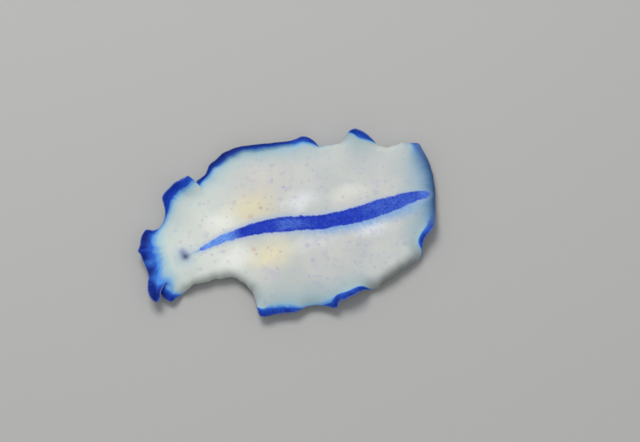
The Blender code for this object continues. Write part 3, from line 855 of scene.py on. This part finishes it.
def specks(scale, size, shift):
    bent = paint.vector("ADD", paint.place(), paint.vector("SCALE", paint.cloudy(), scale=0.25 * MM))
    cells = paint.vector("ADD", bent, (shift * MM, 0, 0))
    spots = paint.make("ShaderNodeTexVoronoi", output="Distance", Scale=scale, Vector=cells)
    chance = paint.make("ShaderNodeTexVoronoi", output="Color", Scale=scale, Vector=cells)
    return paint.range(spots, size * 1.45, 0.0) * paint.range(paint.channel(chance), 0.15, 0.70)


strewn = paint.range(paint.noise(260.0), 0.36, 0.56, 0.35, 1.0)
clear = paint.range(depth, 0.8, 2.4) * (1 - belly) * strewn
mottle = paint.range(paint.noise(1150.0, 2.0, 0.6), 0.54, 0.72)
mottle = mottle * paint.range(paint.noise(300.0), 0.42, 0.60)
colour = paint.mix(mottle * clear * 0.35, colour, (0.50, 0.46, 0.68))
for scale, size, shift, share in SPECKS:
    colour = paint.mix(specks(scale, size, shift) * clear * share, colour, (0.36, 0.30, 0.60))
print("with patches and specks:", len(paint.tree.nodes), "nodes")

# %% Paint of the stripe
ragged = stripe + (paint.noise(4200.0, 2.0, 0.6) - 0.5) * 0.24 + (paint.noise(1300.0, 2.0) - 0.5) * 0.26
lower_side = paint.range(x, -1.0, 5.0) * paint.range(y, 0.3, -0.6)
haze = paint.range(stripe + (cloud - 0.5) * 0.4, 0.55, 0.0) * (0.42 + lower_side * 0.45) * (1 - grey * 0.6)
colour = paint.mix(haze, colour, (0.33, 0.50, 0.82))
veil = paint.range(stripe + (cloud - 0.5) * 0.9, 1.4, 0.1) * lower_side * paint.range(x, 14.0, 12.0)
colour = paint.mix(veil * paint.range(grain, 0.35, 0.6, 0.55, 0.90), colour, (0.25, 0.45, 0.79))
grains = paint.noise(6400.0, 2.0, 0.7)
dense = paint.mix(paint.range(grains, 0.3, 0.7), (0.005, 0.024, 0.38), (0.018, 0.064, 0.66))
loose = paint.mix(paint.range(grains, 0.3, 0.7), (0.085, 0.240, 0.84), (0.240, 0.460, 1.0))
heart = paint.range(stripe, -0.10, -0.50)
front_gap = paint.range(x, -9.5, -8.5, 0.55, 1.0) * paint.range(x, -4.5, -6.6)
middle_gap = paint.range(x, -2.4, -0.4) * paint.range(x, 2.6, 0.6) * heart
rear_gap = paint.range(x, 5.5, 9.5) * 0.22 + paint.range(x, 12.8, 14.1) * 0.25
thin_share = front_gap * 0.95 + middle_gap * 0.30 + rear_gap
stripe_blue = paint.mix(thin_share + (paint.noise(1500.0, 3.0, 0.65) - 0.5) * 0.55, dense, loose)
colour = paint.mix(paint.range(ragged, 0.09, -0.09), colour, stripe_blue)
print("with the stripe:", len(paint.tree.nodes), "nodes")

# %% Clear patch round the eyes, and the thread that joins it to the stripe
EYES, FAINT_EYES = (-10.83, -0.45), (-11.02, 0.06)
thread = paint.range(x, -11.0, -10.3) * paint.range(x, -9.2, -9.6)
off_line = (y + (x + 9.5) * -0.14 + 0.27 + (cloud - 0.5) * 0.3).math("ABSOLUTE")
colour = paint.mix(thread * paint.range(off_line, 0.22, 0.03) * 0.40, colour, (0.30, 0.44, 0.62))
colour = paint.mix(patch(*EYES, 1.7, 1.5, 0.5) * 0.60, colour, (0.33, 0.50, 0.68))
colour = paint.mix(patch(*FAINT_EYES, 0.65, 0.55, 0.25) * 0.60, colour, (0.20, 0.22, 0.50))
colour = paint.mix(patch(*EYES, 0.74, 0.62, 0.30) * 0.80, colour, (0.09, 0.12, 0.25))
print("eyes lie at", EYES, "mm")

# %% Underside and finish
colour = paint.mix(belly * paint.range(depth, 0.4, 1.2) * 0.6, colour, (0.60, 0.58, 0.52))
paint.feed(Base_Color=colour, Roughness=paint.range(grain, 0.3, 0.7, 0.50, 0.62),
           Subsurface_Weight=0.2, Subsurface_Scale=0.0005, Specular_IOR_Level=0.1,
           Subsurface_Radius=(1.0, 0.85, 0.75))
relief = paint.noise(1500.0, 4.0, 0.6) * 0.7 + paint.noise(6000.0, 2.0, 0.6) * 0.3
paint.feed(Normal=paint.make("ShaderNodeBump", Height=relief, Strength=0.25, Distance=0.00005))
skin.data.materials.clear()
skin.data.materials.append(paint.material)
print("skin paint:", len(paint.tree.nodes), "nodes")

# %% [markdown]
# The eyespots
#
# The brain of a flatworm shows through the skin as a clear patch, and over it lies a cluster
# of pinhead eyes. The paint above gives the patch and its soft shadow. The eyes themselves
# are beads: one is shaped from a sphere, flattened and drawn to a low point, and then copied
# at many sizes and half sunk in the skin.

# %% One eye
bpy.ops.object.select_all(action="DESELECT")
bpy.ops.mesh.primitive_uv_sphere_add(segments=16, ring_count=10, radius=1)
bead = bpy.context.object
bpy.ops.object.mode_set(mode="EDIT")
bpy.ops.mesh.select_all(action="SELECT")
bpy.ops.transform.resize(value=(1.0, 0.86, 0.62))
bpy.ops.object.mode_set(mode="OBJECT")
for vertex in bead.data.vertices:
    vertex.co.z *= 1.25 if vertex.co.z > 0 else 0.9
bead.data.shade_smooth()
print("one eye:", len(bead.data.polygons), "faces")

# %% The cluster: x and y from its middle, and radius, in mm
EYE_BEADS = (
    (0.00, 0.02, 0.062), (0.11, -0.03, 0.055), (-0.10, 0.05, 0.050), (0.04, 0.13, 0.048),
    (-0.05, -0.10, 0.056), (0.16, 0.09, 0.040), (-0.17, -0.04, 0.042), (0.09, -0.15, 0.044),
    (-0.12, 0.16, 0.036), (0.24, 0.00, 0.034), (-0.03, 0.24, 0.032), (-0.25, 0.06, 0.030),
    (0.02, -0.24, 0.034), (0.20, -0.14, 0.030), (-0.19, 0.27, 0.026), (-0.15, -0.19, 0.030),
    (-0.22, 0.42, 0.028), (-0.10, 0.50, 0.024), (-0.30, 0.33, 0.022),
)
top_place = place.reshape(-1, 3)
beads = []
for k, (dx, dy, radius) in enumerate(EYE_BEADS):
    spot = np.array(EYES) + (dx, dy)
    rest = top_place[np.argmin(np.sum((top_place[:, :2] - spot) ** 2, -1)), 2]
    copy = bpy.data.objects.new("eye", bead.data.copy())
    bpy.context.scene.collection.objects.link(copy)
    copy.location = Vector((*spot, rest - 0.25 * radius)) * MM
    copy.rotation_euler = (0, 0, 0.9 * k)
    copy.scale = [radius * MM] * 3
    beads.append(copy)
bpy.data.objects.remove(bead)
bpy.ops.object.select_all(action="DESELECT")
for copy in beads:
    copy.select_set(True)
bpy.context.view_layer.objects.active = beads[0]
bpy.ops.object.join()
bpy.ops.object.transform_apply(location=True, rotation=True, scale=True)
eyespots = bpy.context.object
eyespots.name = eyespots.data.name = "eyespots"
print("eyes:", len(beads))

# %% Paint of the eyes
dark = Paint("eyespots")
tint = dark.mix(dark.range(dark.noise(9000.0), 0.35, 0.65), (0.040, 0.052, 0.110), (0.090, 0.090, 0.200))
dark.feed(Base_Color=tint, Roughness=dark.range(dark.noise(14000.0), 0.3, 0.7, 0.32, 0.48))
eyespots.data.materials.clear()
eyespots.data.materials.append(dark.material)
print("eye paint:", len(dark.tree.nodes), "nodes")

# %% [markdown]
# Floor and light
#
# A plain pale floor and large soft lamps, as on a light table. The stronger light comes
# from the far side, as in the photograph.

# %% Floor
bpy.ops.object.select_all(action="DESELECT")
bpy.ops.mesh.primitive_plane_add(size=1.2, location=(0, 0, 0))
floor = bpy.context.object
floor.name = "floor"
pale = Paint("floor")
pale.feed(Base_Color=(0.50, 0.50, 0.49, 1), Roughness=0.9)
floor.data.materials.append(pale.material)
print("floor:", round(floor.dimensions.x, 2), "m wide")

# %% Lamps
def lamp(name, place, size, power, colour=(1, 1, 1)):
    light = bpy.data.lights.new(name, "AREA")
    light.size, light.energy, light.color = size, power, colour
    made = bpy.data.objects.new(name, light)
    made.location = place
    made.rotation_euler = Vector(place).to_track_quat("Z", "Y").to_euler()
    bpy.context.scene.collection.objects.link(made)
    return made


lamp("key", (-0.02, 0.13, 0.24), 0.12, 0.42, (1.0, 0.985, 0.96))
lamp("fill", (0.10, -0.20, 0.30), 0.30, 0.06, (0.95, 0.98, 1.0))
world = bpy.data.worlds.new("studio")
world.use_nodes = True
world.node_tree.nodes["Background"].inputs[0].default_value = (0.95, 0.97, 1.0, 1)
world.node_tree.nodes["Background"].inputs[1].default_value = 0.42
bpy.context.scene.world = world
bpy.context.scene.view_settings.view_transform = "Standard"
print("lamps:", len(bpy.data.lights))

# %% Hand the pieces over
flesh = [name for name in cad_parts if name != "eyespot_cluster"]
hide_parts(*flesh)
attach(skin, "root")
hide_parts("eyespot_cluster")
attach(eyespots, "root")
